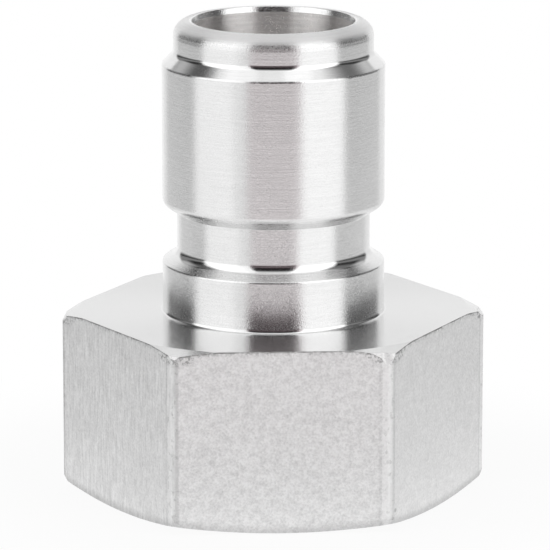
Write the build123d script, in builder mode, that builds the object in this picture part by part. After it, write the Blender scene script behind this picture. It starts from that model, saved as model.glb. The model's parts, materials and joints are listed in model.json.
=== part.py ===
from build123d import *
import os
from math import radians, tan

# Quick fill adapter, turned from one piece of hexagonal steel bar: a hexagonal
# base with a female pipe thread below, and a male quick-coupling plug above.
# Millimetres. +Z runs up through the bore, the origin is the middle of the
# bottom face, and two of the wrench flats are square to Y.

# Hexagonal base
hex_across_flats = 28.6
hex_height = 14.15
hex_corner_radius = 0.7
top_face_overhang = 0.82  # the upper end face is turned to a circle this far outside the flats
bottom_face_inset = 0.2  # the lower one ends this far inside them, so its chamfer cuts every flat
top_chamfer_angle = 16.0  # measured from the end face
bottom_chamfer_angle = 15.0

# Outside of the plug, from the base up to the rim
plug_diameter = 17.2  # collar and barrel, turned to the same size
collar_height = 3.92
groove_width = 4.62  # between the collar's and the barrel's edge
groove_depth = 1.13
groove_lower_angle = 59.0  # the collar's flank, measured from the axis
groove_upper_angle = 57.5  # the barrel's flank
barrel_length = 10.83
nose_step = 0.87  # radial step from the barrel down to the nose
shoulder_angle = 43.5  # measured from the axis
nose_length = 2.41

# Roundings of the plug
collar_foot_radius = 0.2
collar_edge_radius = 0.18
groove_foot_radius = 0.8
locking_edge_radius = 0.62  # the edge that the locking balls ride over
barrel_edge_radius = 0.37
nose_root_radius = 0.5
rim_radius = 1.18

# Inside: through bore and threaded socket
bore_diameter = 12.3
mouth_taper_height = 0.42  # steep lead-in at the bore's upper end
mouth_taper_width = 0.15
thread_major_diameter = 20.96  # half-inch pipe thread, 14 turns to the inch
socket_depth = 12.0
socket_mouth_chamfer = 0.9
seat_edge_chamfer = 0.4

# Heights and radii that follow from the sizes above
hex_inradius = hex_across_flats / 2
top_face_radius = hex_inradius + top_face_overhang
bottom_face_radius = hex_inradius - bottom_face_inset
plug_radius = plug_diameter / 2
groove_radius = plug_radius - groove_depth
nose_radius = plug_radius - nose_step
bore_radius = bore_diameter / 2
thread_radius = thread_major_diameter / 2
lower_flank_height = groove_depth / tan(radians(groove_lower_angle))
upper_flank_height = groove_depth / tan(radians(groove_upper_angle))
shoulder_height = nose_step / tan(radians(shoulder_angle))
collar_top = hex_height + collar_height
barrel_bottom = collar_top + groove_width
barrel_top = barrel_bottom + barrel_length
nose_root = barrel_top + shoulder_height
rim_height = nose_root + nose_length

# The tool that turns both chamfers passes well outside the bar
turning_radius = hex_across_flats
bottom_rise = (turning_radius - bottom_face_radius) * tan(radians(bottom_chamfer_angle))
top_drop = (turning_radius - top_face_radius) * tan(radians(top_chamfer_angle))

with BuildPart() as adapter_body:
    # Hexagonal bar with rounded corners
    with BuildSketch() as bar_section:
        RegularPolygon(radius=hex_inradius, side_count=6, major_radius=False)
        fillet(bar_section.vertices(), radius=hex_corner_radius)
    extrude(amount=hex_height)

    # Both end faces are turned round, which leaves arcs where the cones meet the flats
    with BuildSketch(Plane.XZ) as end_faces:
        with BuildLine():
            Polyline(
                (0, 0),
                (bottom_face_radius, 0),
                (turning_radius, bottom_rise),
                (turning_radius, hex_height - top_drop),
                (top_face_radius, hex_height),
                (0, hex_height),
                close=True,
            )
        make_face()
    revolve(axis=Axis.Z, mode=Mode.INTERSECT)

    # Plug: collar, locking groove, barrel, shoulder and nose with its rounded rim
    with BuildSketch(Plane.XZ) as plug_profile:
        with BuildLine():
            outline = FilletPolyline(
                (plug_radius, hex_height),
                (plug_radius, collar_top),
                (groove_radius, collar_top + lower_flank_height),
                (groove_radius, barrel_bottom - upper_flank_height),
                (plug_radius, barrel_bottom),
                (plug_radius, barrel_top),
                (nose_radius, nose_root),
                (nose_radius, rim_height),
                (0, rim_height),
                radius=[
                    collar_edge_radius,
                    groove_foot_radius,
                    0,
                    locking_edge_radius,
                    barrel_edge_radius,
                    nose_root_radius,
                    rim_radius,
                ],
            )
            Polyline(outline @ 1, (0, hex_height), outline @ 0)
        make_face()
    revolve(axis=Axis.Z)

    # Concave fillet at the collar's foot
    with BuildSketch(Plane.XZ) as collar_foot:
        with BuildLine():
            foot_outer = (plug_radius + collar_foot_radius, hex_height)
            foot_upper = (plug_radius, hex_height + collar_foot_radius)
            RadiusArc(foot_outer, foot_upper, collar_foot_radius)
            Polyline(foot_upper, (plug_radius, hex_height), foot_outer)
        make_face()
    revolve(axis=Axis.Z)

    # Threaded socket with its mouth chamfer, flat seat, and the bore up to the rim
    with BuildSketch(Plane.XZ) as passage:
        with BuildLine():
            Polyline(
                (0, 0),
                (thread_radius + socket_mouth_chamfer, 0),
                (thread_radius, socket_mouth_chamfer),
                (thread_radius, socket_depth),
                (bore_radius + seat_edge_chamfer, socket_depth),
                (bore_radius, socket_depth + seat_edge_chamfer),
                (bore_radius, rim_height - mouth_taper_height),
                (bore_radius + mouth_taper_width, rim_height),
                (0, rim_height),
                close=True,
            )
        make_face()
    revolve(axis=Axis.Z, mode=Mode.SUBTRACT)

adapter_body.part.label = "adapter_body"

os.makedirs("parts", exist_ok=True)
export_step(adapter_body.part, "parts/adapter_body.step")
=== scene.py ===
import json
import math
import random
import bmesh
import bpy
from mathutils import Matrix, Vector


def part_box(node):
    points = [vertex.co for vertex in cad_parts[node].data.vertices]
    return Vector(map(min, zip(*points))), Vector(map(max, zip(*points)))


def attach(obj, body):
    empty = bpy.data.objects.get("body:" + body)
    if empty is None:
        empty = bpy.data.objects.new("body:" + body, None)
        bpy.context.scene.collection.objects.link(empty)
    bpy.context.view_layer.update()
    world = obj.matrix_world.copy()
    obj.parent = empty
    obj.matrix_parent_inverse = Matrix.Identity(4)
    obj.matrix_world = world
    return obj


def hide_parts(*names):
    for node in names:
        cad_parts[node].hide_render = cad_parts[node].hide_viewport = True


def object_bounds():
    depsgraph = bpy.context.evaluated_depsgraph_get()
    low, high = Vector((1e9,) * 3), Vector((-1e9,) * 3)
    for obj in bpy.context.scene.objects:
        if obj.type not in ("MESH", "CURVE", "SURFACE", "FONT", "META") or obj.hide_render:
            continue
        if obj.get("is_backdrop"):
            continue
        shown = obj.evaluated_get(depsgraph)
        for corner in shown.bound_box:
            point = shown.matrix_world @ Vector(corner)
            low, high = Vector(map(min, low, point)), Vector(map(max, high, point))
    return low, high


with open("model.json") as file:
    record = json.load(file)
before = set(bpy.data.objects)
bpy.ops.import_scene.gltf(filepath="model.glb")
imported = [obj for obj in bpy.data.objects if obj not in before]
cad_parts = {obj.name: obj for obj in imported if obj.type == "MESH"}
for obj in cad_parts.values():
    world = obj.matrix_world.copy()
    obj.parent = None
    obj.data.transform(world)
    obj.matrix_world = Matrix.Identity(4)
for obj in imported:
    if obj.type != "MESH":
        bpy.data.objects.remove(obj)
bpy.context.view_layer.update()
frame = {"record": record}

MM = 0.001
IN_MM = 1 / MM

# Sizes that the frame gives: the hexagon, the height, the bore, the socket and the plug
low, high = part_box("adapter_body")
mounts = {mount["name"]: mount for mount in frame["record"]["mounts"]}
wrench_reach = (high.y - low.y) / 2
total_height = high.z
bore_radius = mounts["flow_bore"]["dims"]["r_mm"] * MM
thread_radius = mounts["pipe_thread"]["dims"]["r_mm"] * MM
plug_radius = mounts["plug_barrel"]["dims"]["r_mm"] * MM

# The hexagonal base. Each end face is turned round, and a cone slopes away outside the face's radius
hex_height = 14.15 * MM
corner_radius = 0.7 * MM
top_face_radius = wrench_reach + 0.82 * MM
bottom_face_radius = wrench_reach - 0.2 * MM
top_slope = math.tan(math.radians(16))
bottom_slope = math.tan(math.radians(15))
# Each face also has a ring of points between the flats and the middle
face_ring = 12.6 * MM

# The upper ends of the six ridges are worn off. Counted from the ridge towards +X, each has a lean, which is
# how far the worn face goes inwards for its depth, and a notch: degrees round from the ridge, and how far
# down the wear reaches there, in millimetres
ridge_wear = {
    -2: (0.36, [(-1.7, 0), (-1.0, 0.2), (-0.4, 0.15), (0.4, 0.24), (1.0, 0.1), (1.5, 0)]),
    -1: (0.42, [(-5.2, 0), (-2.6, 0.36), (-1.8, 0.8), (-1.2, 0.87), (-0.3, 0.7), (0.8, 0.3), (1.6, 0)]),
    0: (1.0, [(-3.8, 0), (-2.6, 0.32), (-1.2, 0.5), (0, 0.52), (1.4, 0.28), (2.6, 0)]),
    1: (0.6, [(-2.0, 0), (-1.4, 0.19), (0, 0.34), (1.4, 0.19), (2.0, 0)]),
    2: (0.6, [(-1.8, 0), (-1.4, 0.16), (0, 0.31), (1.4, 0.16), (1.8, 0)]),
    3: (0.6, [(-2.8, 0), (-1.4, 0.39), (0, 0.54), (1.4, 0.39), (2.8, 0)]),
}
# Their lower ends are worn back to one radius
lower_wear_radius = 16.15 * MM
lower_wear_lean = 0.6

# The burr along the flats' upper edge, which falls by a share of what it stands back
burr_size = 0.05 * MM
burr_fall = 0.6

# The plug, from its foot, which flares out a little, to its rim
collar_top = hex_height + 3.92 * MM
barrel_bottom = collar_top + 4.62 * MM
barrel_top = barrel_bottom + 10.83 * MM
groove_depth = 1.13 * MM
groove_radius = plug_radius - groove_depth
groove_floor_bottom = collar_top + groove_depth / math.tan(math.radians(59))
groove_floor_top = barrel_bottom - groove_depth / math.tan(math.radians(57.5))
nose_step = 0.87 * MM
nose_radius = plug_radius - nose_step
nose_root = barrel_top + nose_step / math.tan(math.radians(43.5))
flare_width = 0.07 * MM
flare_height = 0.24 * MM

# Roundings of the plug
flare_foot_rounding = 0.14 * MM
flare_top_rounding = 0.3 * MM
collar_edge_rounding = 0.18 * MM
groove_foot_rounding = 0.8 * MM
groove_top_rounding = 0.08 * MM
locking_edge_rounding = 0.62 * MM
barrel_edge_rounding = 0.24 * MM
nose_root_rounding = 0.55 * MM
rim_rounding = 1.18 * MM

# The mouth, the bore and the threaded socket, which has a plain wall above its thread
mouth_taper_height = 0.42 * MM
mouth_taper_width = 0.15 * MM
mouth_rounding = 0.06 * MM
inner_rounding = 0.05 * MM
socket_depth = 12.0 * MM
socket_top_rounding = 0.2 * MM
plain_wall = 0.3 * MM
seat_chamfer = 0.4 * MM
socket_mouth_chamfer = 0.9 * MM
socket_mouth_radius = thread_radius + socket_mouth_chamfer
thread_pitch = 1.814 * MM
thread_depth = 1.162 * MM
thread_start = 0.25 * MM
thread_runout = 1.3 * MM

# How finely the mesh is cut, where extra points hold its shading, and which angles stay sharp
flat_cuts = 43
cuts_crowding = 0.7
corner_cuts = 6
rounding_cuts = 7
thread_rows = 90
run_hold = 0.03 * MM
edge_hold = 0.06 * MM
edge_hold_further = 0.14 * MM
merge_distance = 0.0005 * MM
sharp_angle = math.radians(15)
sharp_thread_angle = math.radians(28)

# Slots of the finishes, in the order in which the piece gets them
TURNED, BAR, CUT, BORE, FACED, RUBBED, FORMED = range(7)


def rounded_outline(corners):
    """Points of an outline in the (radius, height) plane. Each corner is (radius, height, rounding)."""
    mesh = bmesh.new()
    verts = [mesh.verts.new((radius, 0, height)) for radius, height, rounding in corners]
    for first, second in zip(verts, verts[1:]):
        mesh.edges.new((first, second))
    places = [vert.co.copy() for vert in verts]
    for i in range(1, len(corners) - 1):
        rounding = corners[i][2]
        if rounding:
            turn = (places[i] - places[i - 1]).angle(places[i + 1] - places[i])
            bmesh.ops.bevel(
                mesh, geom=[verts[i]], offset=rounding * math.tan(turn / 2), offset_type="OFFSET",
                segments=rounding_cuts, profile=0.5, affect="VERTICES", material=-1,
            )
    path = [verts[0]]
    ahead = path
    while ahead:
        ahead = [edge.other_vert(path[-1]) for edge in path[-1].link_edges]
        ahead = [vert for vert in ahead if vert not in path]
        path.extend(ahead)
    points = [(vert.co.x, vert.co.z) for vert in path]
    mesh.free()
    return points


def held(points):
    """The same outline with a point close to each end of its long runs, so that they are shaded straight."""
    out = [points[0]]
    for (radius_0, height_0), (radius_1, height_1) in zip(points, points[1:]):
        run = math.hypot(radius_1 - radius_0, height_1 - height_0)
        if run > 8 * run_hold:
            part = run_hold / run
            radius_step = (radius_1 - radius_0) * part
            height_step = (height_1 - height_0) * part
            out.append((radius_0 + radius_step, height_0 + height_step))
            out.append((radius_1 - radius_step, height_1 - height_step))
        out.append((radius_1, height_1))
    return out


def section_radius(angle):
    """How far the bar's surface lies from its axis in one direction."""
    away = angle % (math.pi / 3) - math.pi / 6
    to_corner = math.pi / 6 - abs(away)
    centre = (wrench_reach - corner_radius) / math.cos(math.pi / 6)
    side = centre * math.sin(to_corner)
    if abs(away) < math.atan2(centre * math.sin(math.pi / 6), wrench_reach):
        return wrench_reach / math.cos(away)
    return centre * math.cos(to_corner) + math.sqrt(corner_radius**2 - side**2)


def section_ring(mesh):
    """The bar's section at height 0: a hexagon with rounded corners and finely divided flats."""
    reach = wrench_reach / math.cos(math.pi / 6)
    made = bmesh.ops.create_circle(mesh, cap_ends=False, segments=6, radius=reach)
    turn = Matrix.Rotation(math.pi / 6, 3, "Z")
    bmesh.ops.rotate(mesh, verts=made["verts"], cent=(0, 0, 0), matrix=turn)
    bmesh.ops.bevel(
        mesh, geom=made["verts"], offset=corner_radius * math.tan(math.pi / 6), offset_type="OFFSET",
        segments=corner_cuts, profile=0.5, affect="VERTICES", material=-1,
    )
    flats = [edge for edge in mesh.edges if edge.calc_length() > corner_radius]
    bmesh.ops.subdivide_edges(mesh, edges=flats, cuts=flat_cuts)
    # The cuts crowd together towards the corners, where the shape changes
    half = (wrench_reach - corner_radius) * math.tan(math.pi / 6)
    for vert in mesh.verts:
        angle = math.atan2(vert.co.y, vert.co.x)
        away = angle % (math.pi / 3) - math.pi / 6
        side = wrench_reach * math.tan(away) / half
        on_flat = abs(side) < 0.999
        if on_flat:
            side = (1 - cuts_crowding) * side + cuts_crowding * math.sin(side * math.pi / 2)
            turn = math.atan(side * half / wrench_reach) - away
            vert.co.rotate(Matrix.Rotation(turn, 3, "Z"))
            vert.co *= section_radius(angle + turn) / vert.co.length
    return list(mesh.edges)


def grow(mesh, ring, place, slot):
    """Extrudes a ring of edges and puts each new point at the (radius, height) that place(angle) gives."""
    made = bmesh.ops.extrude_edge_only(mesh, edges=ring)["geom"]
    for item in made:
        if isinstance(item, bmesh.types.BMVert):
            angle = math.atan2(item.co.y, item.co.x)
            radius, height = place(angle)
            item.co = (radius * math.cos(angle), radius * math.sin(angle), height)
        elif isinstance(item, bmesh.types.BMFace):
            item.material_index = slot
    return [item for item in made if isinstance(item, bmesh.types.BMEdge)]


def worn_end(angle):
    """Lean and depth of the wear at a ridge's upper end, in one direction."""
    ridge = round(angle / (math.pi / 3))
    turned = math.degrees(angle) - 60 * ridge
    lean, notch = ridge_wear[(ridge + 2) % 6 - 2]
    for (start, depth_0), (end, depth_1) in zip(notch, notch[1:]):
        if start <= turned < end:
            return lean, (depth_0 + (depth_1 - depth_0) * (turned - start) / (end - start)) * MM
    return lean, 0


def end_of_bar(angle, upper):
    """Where the bar ends in one direction: radius and fall of the cone's edge, and depth of the wear."""
    radius = section_radius(angle)
    if upper:
        lean, depth = worn_end(angle)
        cut = radius - lean * depth
        return cut, max(0, cut - top_face_radius) * top_slope, depth
    cut = min(radius, lower_wear_radius)
    return cut, max(0, cut - bottom_face_radius) * bottom_slope, (radius - cut) / lower_wear_lean


def flat_place(angle, upper, inward=0):
    """The upper or lower edge of the flats and ridges, or a point a little further in from it."""
    cut, fall, depth = end_of_bar(angle, upper)
    inset = fall + (depth + inward)
    return section_radius(angle), hex_height - inset if upper else inset


def cone_place(angle, upper):
    """The outer edge of the turned cone."""
    cut, fall, depth = end_of_bar(angle, upper)
    return cut, hex_height - fall if upper else fall


def thread_place(angle, height):
    """The threaded wall: a rounded right-hand thread that fades out at both ends, with a chamfered mouth."""
    fade_in = min(1, max(0, (height - thread_start) / thread_pitch))
    fade_out = min(1, max(0, (socket_depth - thread_runout - height) / thread_pitch))
    phase = height / thread_pitch - angle / (2 * math.pi)
    ridge = 0.5 - 0.5 * math.cos(2 * math.pi * phase)
    # The crests and roots are a little flat
    ridge = min(1, max(0, 1.15 * ridge - 0.075))
    wall = thread_radius - thread_depth * ridge * min(fade_in, fade_out)
    chamfer = socket_mouth_radius - height
    return min(max(wall, chamfer), socket_mouth_radius), height


def adapter_mesh():
    """The whole adapter, grown ring by ring: up the flats and the plug, down the bore and the socket."""
    mesh = bmesh.new()
    ring = section_ring(mesh)

    # The wrench flats, from their lower edge to the upper one, with the ridges' worn ends
    for vert in mesh.verts:
        vert.co.z = flat_place(math.atan2(vert.co.y, vert.co.x), False)[1]
    for upper, inward in (
        (False, edge_hold), (False, edge_hold_further), (True, edge_hold_further), (True, edge_hold),
    ):
        ring = grow(mesh, ring, lambda angle: flat_place(angle, upper, inward), BAR)

    # The burr that the facing tool left makes the upper edge a little ragged
    chance = random.Random(11)

    def ragged_edge(angle):
        radius, height = flat_place(angle, True)
        rag = chance.uniform(0, burr_size) if worn_end(angle)[1] == 0 else 0
        return radius - rag, height - rag * burr_fall

    ring = grow(mesh, ring, ragged_edge, BAR)
    ring = grow(mesh, ring, lambda angle: cone_place(angle, True), RUBBED)
    ring = grow(mesh, ring, lambda angle: (min(top_face_radius, section_radius(angle)), hex_height), FACED)

    # Across the top face, up the plug, over the rim and down the bore to the socket's wall
    outline = rounded_outline([
        (face_ring, hex_height, 0),
        (plug_radius + flare_width, hex_height, flare_foot_rounding),
        (plug_radius, hex_height + flare_height, flare_top_rounding),
        (plug_radius, collar_top, collar_edge_rounding),
        (groove_radius, groove_floor_bottom, groove_foot_rounding),
        (groove_radius, groove_floor_top, groove_top_rounding),
        (plug_radius, barrel_bottom, locking_edge_rounding),
        (plug_radius, barrel_top, barrel_edge_rounding),
        (nose_radius, nose_root, nose_root_rounding),
        (nose_radius, total_height, rim_rounding),
        (bore_radius + mouth_taper_width, total_height, mouth_rounding),
        (bore_radius, total_height - mouth_taper_height, inner_rounding),
        (bore_radius, socket_depth + seat_chamfer, inner_rounding),
        (bore_radius + seat_chamfer, socket_depth, inner_rounding),
        (thread_radius, socket_depth, socket_top_rounding),
        (thread_radius, socket_depth - plain_wall, 0),
    ])
    # The three concave fillets are formed by the nose of the tool, and are brighter: their spans of height
    fillets = (
        (hex_height + 0.01 * MM, hex_height + 0.45 * MM),
        (groove_floor_bottom - 0.24 * MM, groove_floor_bottom + 0.46 * MM),
        (nose_root - 0.22 * MM, nose_root + 0.31 * MM),
    )
    # All that follows the mouth's taper is bored
    inside = False
    for radius, height in held(outline):
        inside = inside or radius < bore_radius + 0.002 * MM
        slot = BORE if inside else FACED if height < hex_height + 0.01 * MM else TURNED
        if slot == TURNED and any(start < height < end for start, end in fillets):
            slot = FORMED
        ring = grow(mesh, ring, lambda angle: (radius, height), slot)

    # The thread, row by row, and the chamfer of its mouth
    top = socket_depth - plain_wall
    for row in range(1, thread_rows + 1):
        height = top + (socket_mouth_chamfer * 0.5 - top) * row / thread_rows
        ring = grow(mesh, ring, lambda angle: thread_place(angle, height), CUT)
    ring = grow(mesh, ring, lambda angle: (socket_mouth_radius, 0), CUT)

    # The bottom face, out to its cone and back to the first ring
    for radius in (socket_mouth_radius + 0.05 * MM, face_ring, bottom_face_radius):
        ring = grow(mesh, ring, lambda angle: (radius, 0), TURNED)
    ring = grow(mesh, ring, lambda angle: cone_place(angle, False), TURNED)
    grow(mesh, ring, lambda angle: flat_place(angle, False), BAR)

    bmesh.ops.remove_doubles(mesh, verts=mesh.verts, dist=merge_distance)
    bmesh.ops.dissolve_degenerate(mesh, edges=mesh.edges, dist=merge_distance)
    bmesh.ops.recalc_face_normals(mesh, faces=mesh.faces)
    for face in mesh.faces:
        face.smooth = True
    for edge in mesh.edges:
        threaded = edge.link_faces[0].material_index == CUT
        limit = sharp_thread_angle if threaded else sharp_angle
        edge.smooth = edge.is_manifold and edge.calc_face_angle() < limit
    return linked("dressed_adapter", mesh)


def linked(name, mesh):
    """Makes a mesh an object of the scene."""
    data = bpy.data.meshes.new(name)
    mesh.to_mesh(data)
    mesh.free()
    made = bpy.data.objects.new(name, data)
    bpy.context.scene.collection.objects.link(made)
    return made


class Tree:
    """The nodes of a finish or of the world."""

    def __init__(self, owner):
        owner.use_nodes = True
        self.nodes = owner.node_tree.nodes
        self.links = owner.node_tree.links
        self.nodes.clear()

    def node(self, kind, settings={}, sockets={}, output=0):
        """Adds a node with its settings and its sockets' values or links. Gives one of its outputs."""
        made = self.nodes.new(kind)
        for name, setting in settings.items():
            setattr(made, name, setting)
        for name, item in sockets.items():
            if isinstance(item, Value):
                self.links.new(item.socket, made.inputs[name])
            else:
                made.inputs[name].default_value = item
        return Value(self, made.outputs[output]) if made.outputs else None


class Value:
    """An output of a node. Sums with it add Math nodes."""

    def __init__(self, tree, socket):
        self.tree = tree
        self.socket = socket

    def other(self, name):
        """Another output of the same node."""
        return Value(self.tree, self.socket.node.outputs[name])

    def maths(self, operation, *others):
        return self.tree.node("ShaderNodeMath", {"operation": operation}, dict(enumerate((self, *others))))

    def __add__(self, other):
        return self.maths("ADD", other)

    __radd__ = __add__

    def __mul__(self, other):
        return self.maths("MULTIPLY", other)

    __rmul__ = __mul__

    def __sub__(self, other):
        return self.maths("SUBTRACT", other)

    def __rsub__(self, other):
        return self * -1 + other

    def step(self, low, high):
        """0 below low and 1 above high, smooth between them."""
        return self.tree.node(
            "ShaderNodeMapRange", {"interpolation_type": "SMOOTHSTEP"},
            {"Value": self, "From Min": low, "From Max": high}, "Result",
        )


def parts_of(vector):
    """The x, y and z of a vector."""
    x = vector.tree.node("ShaderNodeSeparateXYZ", {}, {"Vector": vector}, "X")
    return x, x.other("Y"), x.other("Z")


def point_on_part(tree):
    """The point, its x, y and z, and its distance from the axis."""
    place = tree.node("ShaderNodeTexCoord", output="Object")
    x, y, z = parts_of(place)
    return place, x, y, z, (x * x + y * y).maths("SQRT")


def noise(place, size, detail=2.0, roughness=0.55):
    """Noise whose grains are about size across."""
    sockets = {"Vector": place, "Scale": 1 / size, "Detail": detail, "Roughness": roughness}
    return place.tree.node("ShaderNodeTexNoise", {}, sockets)


def blended(kind, factor, first, second):
    """Two colours in a Mix node. Its colour sockets are numbers 6 and 7, and its colour output number 2."""
    tree = (factor if isinstance(factor, Value) else second).tree
    settings = {"data_type": "RGBA", "blend_type": kind}
    return tree.node("ShaderNodeMix", settings, {0: factor, 6: first, 7: second}, 2)


def bumped(height, depth, normal=None):
    """The normal of a surface that height, from 0 to 1, raises by up to depth."""
    sockets = {"Strength": 1.0, "Distance": depth, "Height": height}
    if normal:
        sockets["Normal"] = normal
    return height.tree.node("ShaderNodeBump", {}, sockets)


def new_finish(name):
    finish = bpy.data.materials.new(name)
    return finish, Tree(finish)


def steel_output(tree, sockets):
    """Ends a finish with a metal that has these values or links."""
    shader = tree.node("ShaderNodeBsdfPrincipled", {}, sockets)
    tree.node("ShaderNodeOutputMaterial", {}, {"Surface": shader})


def turned_steel(name, colour, roughness, streak, feed, marks, grain_depth, contrast=1.0, metal=1.0):
    """Steel off the lathe: shiny along its fine rings, with short scratches between them."""
    finish, tree = new_finish(name)
    place, x, y, z, radius = point_on_part(tree)
    # Turning marks: long fine lines round the axis, whatever way the surface faces
    along = z - radius
    spot = tree.node("ShaderNodeCombineXYZ", {}, {"X": x * 0.02, "Y": y * 0.02, "Z": along})
    rings = noise(spot, feed, 2.0, 0.6)
    short = tree.node("ShaderNodeCombineXYZ", {}, {"X": x * 0.16, "Y": y * 0.16, "Z": along})
    scratches = noise(short, feed * 1.1, 2.0, 0.6)
    grain = noise(place, 0.1 * MM, 2.0, 0.6)
    cloud = noise(place, 2.2 * MM, 2.0, 0.5)
    turning = bumped(rings * 0.9 + scratches * 0.7, marks)
    lines = ((rings - 0.5) * 0.1 + (scratches - 0.5) * 0.08) * contrast
    tone = 0.97 + lines + (grain - 0.5) * 0.14 + (cloud - 0.5) * 0.03
    # The rim's rounding was broken with a file: it is duller and paler
    height = z * IN_MM
    rim_height = total_height * IN_MM
    outside = (radius * IN_MM).step(bore_radius * IN_MM + 0.2, bore_radius * IN_MM + 0.5)
    rim = height.step(rim_height - 0.8, rim_height - 0.25) * outside
    dull = height.step(rim_height - 1.6, rim_height - 0.7) * outside
    uneven = (1 + (grain - 0.5) * 2.4) * roughness + (cloud - 0.5) * 0.06
    steel_output(tree, {
        "Base Color": blended("MULTIPLY", 1.0, colour, tone),
        "Metallic": metal - rim * 0.8,
        "Roughness": uneven + dull * 0.1 + rim * 0.15,
        "Anisotropic": streak,
        "Anisotropic Rotation": 0.25,
        "Normal": bumped(grain, grain_depth, turning),
    })
    return finish


def bar_steel():
    """The drawn bar's own skin on the flats: satin, pitted, with draw lines, and dark along the burrs."""
    finish, tree = new_finish("bar_steel")
    place, x, y, z, radius = point_on_part(tree)
    pits = noise(place, 0.185 * MM, 3.0, 0.65)
    mottle = noise(place, 0.6 * MM)
    cloud = noise(place, 3.5 * MM, 2.0, 0.5)
    patches = noise(place, 1.3 * MM, 2.0, 0.6)
    specks = noise(place, 0.24 * MM, 2.0, 0.65)
    upright = {"Vector": place, "Scale": (1, 1, 0.15)}
    draw = noise(tree.node("ShaderNodeMapping", {"vector_type": "POINT"}, upright), 0.25 * MM, 3.0, 0.6)

    # The flats to the left carry the clearest draw lines, those to the right the fewest pits
    sideways = math.cos(math.radians(30))
    forward = math.sin(math.radians(30))
    on_flat = (wrench_reach - 0.4 * MM, wrench_reach - 0.1 * MM)
    leftward = (x * -sideways - y * forward).step(*on_flat)
    rightward = (x * sideways - y * forward).step(*on_flat)

    # How far the point lies from the upper and the lower edge of the flat, in millimetres
    beyond = (radius - top_face_radius).maths("MAXIMUM", 0.0)
    below_top = (hex_height - beyond * top_slope - z) * IN_MM
    above_bottom = (z - (radius - bottom_face_radius) * bottom_slope) * IN_MM
    line = (1 - below_top.step(0.03, 0.16)) * (0.2 + patches.step(0.42, 0.6) * 0.32)
    near_corner = (radius * IN_MM).step(15.4, 15.9)
    crumbs = specks.step(0.44, 0.66) * (1 - (below_top - near_corner * 0.45).step(0.05, 0.45))
    burr = (line + crumbs * (0.36 + near_corner * 0.1)).maths("MINIMUM", 0.6)
    # The flats are darker along their lower edge
    darker_lower_edge = (1 - above_bottom.step(0.05, 0.75)) * 0.21

    # Each ridge, in degrees round from its middle: a painted highlight band on one side, painted shade lines
    # beside it, and painted shade on the ridge itself
    turned = (y.maths("ARCTAN2", x) * (180 / math.pi)).maths("WRAP", 30.0, -30.0)
    painted_highlight_band = turned.step(-2.6, -2.1) * (1 - turned.step(-0.9, -0.1))
    ridge = turned.step(-2.6, -2.0) * (1 - turned.step(1.0, 1.6))
    painted_shade_lines = turned.step(-3.4, -2.9) * (1 - turned.step(-2.6, -2.2))
    painted_shade_lines = painted_shade_lines + turned.step(0.1, 0.5) * (1 - turned.step(1.1, 1.6))
    dents = noise(place, 0.4 * MM, 2.0, 0.6).step(0.56, 0.68) * ridge

    # A few scuffs on the left flat, and a nick low down beside the right-hand ridge
    def close_to(point, reach):
        """1 at a point, given in millimetres, and 0 beyond its reach."""
        sockets = {0: place, 1: [number * MM for number in point]}
        away = tree.node("ShaderNodeVectorMath", {"operation": "DISTANCE"}, sockets, "Value")
        return 1 - away.step(reach * 0.3 * MM, reach * MM)

    scuffs = close_to((-10.2, -10.9, 3.8), 3.4) * draw.step(0.54, 0.64)
    nick = close_to((8.55, -13.8, 1.6), 0.24)

    mottled = (pits - 0.5) * 0.62 + (mottle - 0.5) * 0.34
    tone = 0.93 + mottled * (1 - leftward * 0.35) * (1 - rightward * 0.35) * (1 - ridge * 0.4)
    tone = tone + (draw - 0.5) * (0.04 + leftward * 0.44) + (cloud - 0.5) * 0.05
    # Painted shade: the left flat is painted darker, and the right one a little darker
    tone = tone * (1 - leftward * 0.1) * (1 - rightward * 0.02)
    # Painted highlight on one side of each ridge, painted shade on the ridge and in the lines beside it, and
    # darker dents
    tone = tone + painted_highlight_band * 0.11 - ridge * 0.04 - painted_shade_lines * 0.07 - dents * 0.14
    tone = tone - scuffs * 0.16 - nick * 0.3
    tone = tone * (1 - burr) * (1 - darker_lower_edge)
    height = pits * 0.5 + mottle * 0.3 + draw * (0.06 + leftward * 0.44) - dents * 0.6
    steel_output(tree, {
        "Base Color": blended("MULTIPLY", 1.0, grey(0.965), tone),
        "Metallic": 1.0,
        "Roughness": 0.52 + (mottle - 0.5) * 0.15 + ridge * 0.06,
        "Normal": bumped(height, 0.03 * MM),
    })
    return finish


def grey(level):
    return (level, level, level, 1)


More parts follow.
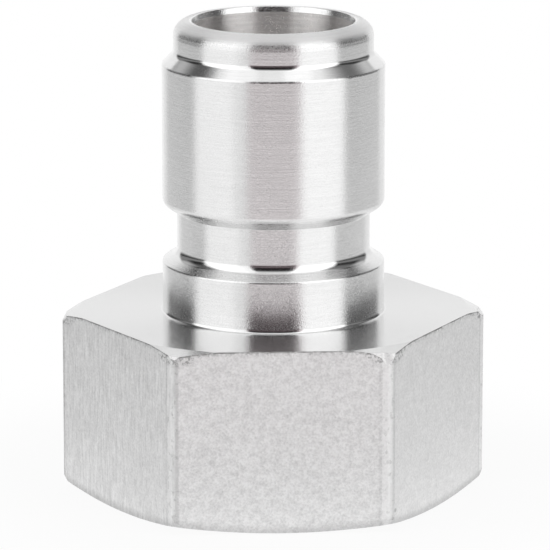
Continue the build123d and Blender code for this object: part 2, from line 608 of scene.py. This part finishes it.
def studio_world():
    """A light tent: bright panels and a bright top, with a dim gap in front and one at each side."""
    world = bpy.data.worlds.new("studio")
    bpy.context.scene.world = world
    tree = Tree(world)
    x, y, z = parts_of(tree.node("ShaderNodeTexCoord", output="Generated"))
    # Degrees round from the camera's side, positive to the right, and degrees above the horizon
    azimuth = x.maths("ARCTAN2", y * -1) * (180 / math.pi)
    elevation = z.maths("ARCSINE") * (180 / math.pi)

    def sector(start, end, soft_start=3.0, soft_end=3.0):
        """1 between two directions, with soft edges, and 0 elsewhere."""
        begun = azimuth.step(start - soft_start, start + soft_start)
        return begun * (1 - azimuth.step(end - soft_end, end + soft_end))

    # Higher up, the two side gaps reach further round to the back
    raised = elevation.step(-4, 12)
    high_up = elevation.step(18, 36)
    front = sector(-30, 25, 1.5, 4.5)
    right_inner = azimuth - raised * 3 - high_up * 3
    right_gap = right_inner.step(73, 78) * (1 - (azimuth - high_up * 16).step(133.5, 139.5))
    left_inner = azimuth + raised * 3 + high_up * 5
    left_gap = (azimuth + high_up * 14).step(-148, -142) * (1 - left_inner.step(-94, -88))

    # The panels, which fade a little overhead
    left = sector(-91, -30)
    right = sector(25, 75.5)
    panels = 0.86 + raised * 0.1 + left * (0.12 + raised * 0.3) + right * (0.22 + raised * 0.32)
    panels = panels * (1 - elevation.step(52, 70) * 0.2)

    # The gaps are pale below the horizon, near black above it, and bright again overhead
    near_dark = 1 - elevation.step(-16, 3)
    low_down = elevation.step(3, 9) * (1 - elevation.step(14, 20))

    def gap_level(black, below, just_above, bright_from, bright_to):
        overhead = elevation.step(bright_from, bright_to)
        return black + near_dark * below + low_down * just_above + overhead * 0.95

    front_level = gap_level(0.02, 1.02, 0.16, 42, 72)
    right_level = gap_level(0.03, 0.88, 0.22, 44, 66)
    left_level = gap_level(0.02, 0.88, 0.22, 46, 65)

    # Towards the back the two side gaps are paler below the dark band at 45 degrees
    upper_part = elevation.step(26, 38)
    paler = elevation.step(13, 28) * (1 - elevation.step(30, 45))
    right_level = right_level + upper_part * (1 - azimuth.step(118, 134)) * 0.14
    right_level = right_level + paler * azimuth.step(112, 134) * 0.6
    left_level = left_level + upper_part * azimuth.step(-140, -128) * 0.09
    left_level = left_level + paler * (1 - azimuth.step(-138, -116)) * 0.5
    faint = sector(-44.6, -30, 2.0, 1.5) * 0.15
    level = panels * (1 - front - right_gap - left_gap - faint)
    level = level + front * front_level + right_gap * right_level + left_gap * left_level

    # The front gap looks on a dim, slightly warm room
    warm = front * (1 - near_dark * 0.82) * (1 - elevation.step(26, 44))
    room = blended("MIX", warm, grey(1), (1, 0.8, 0.84, 1))
    shade = tree.node("ShaderNodeBackground", {}, {"Color": room, "Strength": level})
    white = tree.node("ShaderNodeBackground", {}, {"Color": grey(1), "Strength": 1.0})

    # White backdrop: all round for the camera, and behind the part for metal and glass
    seen_by_camera = tree.node("ShaderNodeLightPath", output="Is Camera Ray")
    in_metal = seen_by_camera.other("Is Glossy Ray")
    in_glass = seen_by_camera.other("Is Transmission Ray")
    behind = (1 - sector(-160, 160, 1.0)) * (1 - elevation.step(6, 10))
    backdrop = seen_by_camera.maths("MAXIMUM", in_metal.maths("MAXIMUM", in_glass) * behind)
    mix = tree.node("ShaderNodeMixShader", {}, {0: backdrop, 1: shade, 2: white})
    tree.node("ShaderNodeOutputWorld", {}, {"Surface": mix})


def floor():
    """A white round board, with the soft shadow close to the part and plain white further out."""
    mesh = bmesh.new()
    below = Matrix.Translation((0, 0, -0.02 * MM))
    bmesh.ops.create_circle(mesh, cap_ends=True, segments=96, radius=46 * MM, matrix=below)
    board = linked("floor", mesh)
    finish, tree = new_finish("floor")
    radius = point_on_part(tree)[4]
    away = radius.step(18 * MM, 40 * MM)
    paper = tree.node("ShaderNodeBsdfDiffuse", {}, {"Color": grey(0.92)})
    white = tree.node("ShaderNodeEmission", {}, {"Color": grey(1), "Strength": 1.0})
    seen_by_camera = tree.node("ShaderNodeLightPath", output="Is Camera Ray")
    in_metal = seen_by_camera.other("Is Glossy Ray")
    in_glass = seen_by_camera.other("Is Transmission Ray")
    seen = seen_by_camera.maths("MAXIMUM", in_metal).maths("MAXIMUM", in_glass)
    mix = tree.node("ShaderNodeMixShader", {}, {0: seen * (0.9 + away * 0.1), 1: paper, 2: white})
    tree.node("ShaderNodeOutputMaterial", {}, {"Surface": mix})
    board.data.materials.append(finish)
    board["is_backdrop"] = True


def camera():
    """Looks from the front, a little from the left and above, down a long lens."""
    azimuth = math.radians(-2.82)
    elevation = math.radians(12.457)
    distance = 348.0 * MM
    target = Vector((0, 0, 19.93 * MM))
    back = Vector((
        math.sin(azimuth) * math.cos(elevation),
        -math.cos(azimuth) * math.cos(elevation),
        math.sin(elevation),
    ))
    data = bpy.data.cameras.new("camera")
    eye = bpy.data.objects.new("camera", data)
    bpy.context.scene.collection.objects.link(eye)
    eye.location = target + back * distance
    eye.rotation_mode = "QUATERNION"
    eye.rotation_quaternion = (-back).to_track_quat("-Z", "Y")
    data.sensor_width = 36.0
    data.lens = 293.7
    # The target lies a little beside and above the picture's middle, by so many pixels
    picture_width = 550
    data.shift_x = 1.55 / picture_width
    data.shift_y = -40 / picture_width
    data.clip_start = 0.01
    data.clip_end = 10
    bpy.context.scene.camera = eye


piece = adapter_mesh()
for finish in (
    turned_steel(
        "turned_steel", grey(0.84), roughness=0.2, streak=1.0, feed=0.125 * MM,
        marks=0.005 * MM, grain_depth=0.008 * MM, contrast=1.1,
    ),
    bar_steel(),
    turned_steel(
        "threaded_steel", (0.74, 0.73, 0.72, 1), roughness=0.3, streak=0.6, feed=0.12 * MM,
        marks=0.006 * MM, grain_depth=0.006 * MM,
    ),
    turned_steel(
        "bored_steel", (0.96, 0.94, 0.93, 1), roughness=0.4, streak=1.0, feed=0.2 * MM,
        marks=0.004 * MM, grain_depth=0.0, contrast=3.0,
    ),
    turned_steel(
        "faced_steel", grey(0.79), roughness=0.18, streak=0.9, feed=0.16 * MM,
        marks=0.0006 * MM, grain_depth=0.0004 * MM, contrast=0.3,
    ),
    turned_steel(
        "rubbed_steel", grey(1.0), roughness=0.4, streak=0.2, feed=0.3 * MM,
        marks=0.001 * MM, grain_depth=0.005 * MM, contrast=0.6, metal=0.25,
    ),
    turned_steel(
        "formed_steel", grey(0.84), roughness=0.13, streak=0.6, feed=0.125 * MM,
        marks=0.002 * MM, grain_depth=0.002 * MM,
    ),
):
    piece.data.materials.append(finish)
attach(piece, "root")
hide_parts("adapter_body")

studio_world()
floor()
camera()
bpy.context.scene.view_settings.view_transform = "Standard"

low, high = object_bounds()
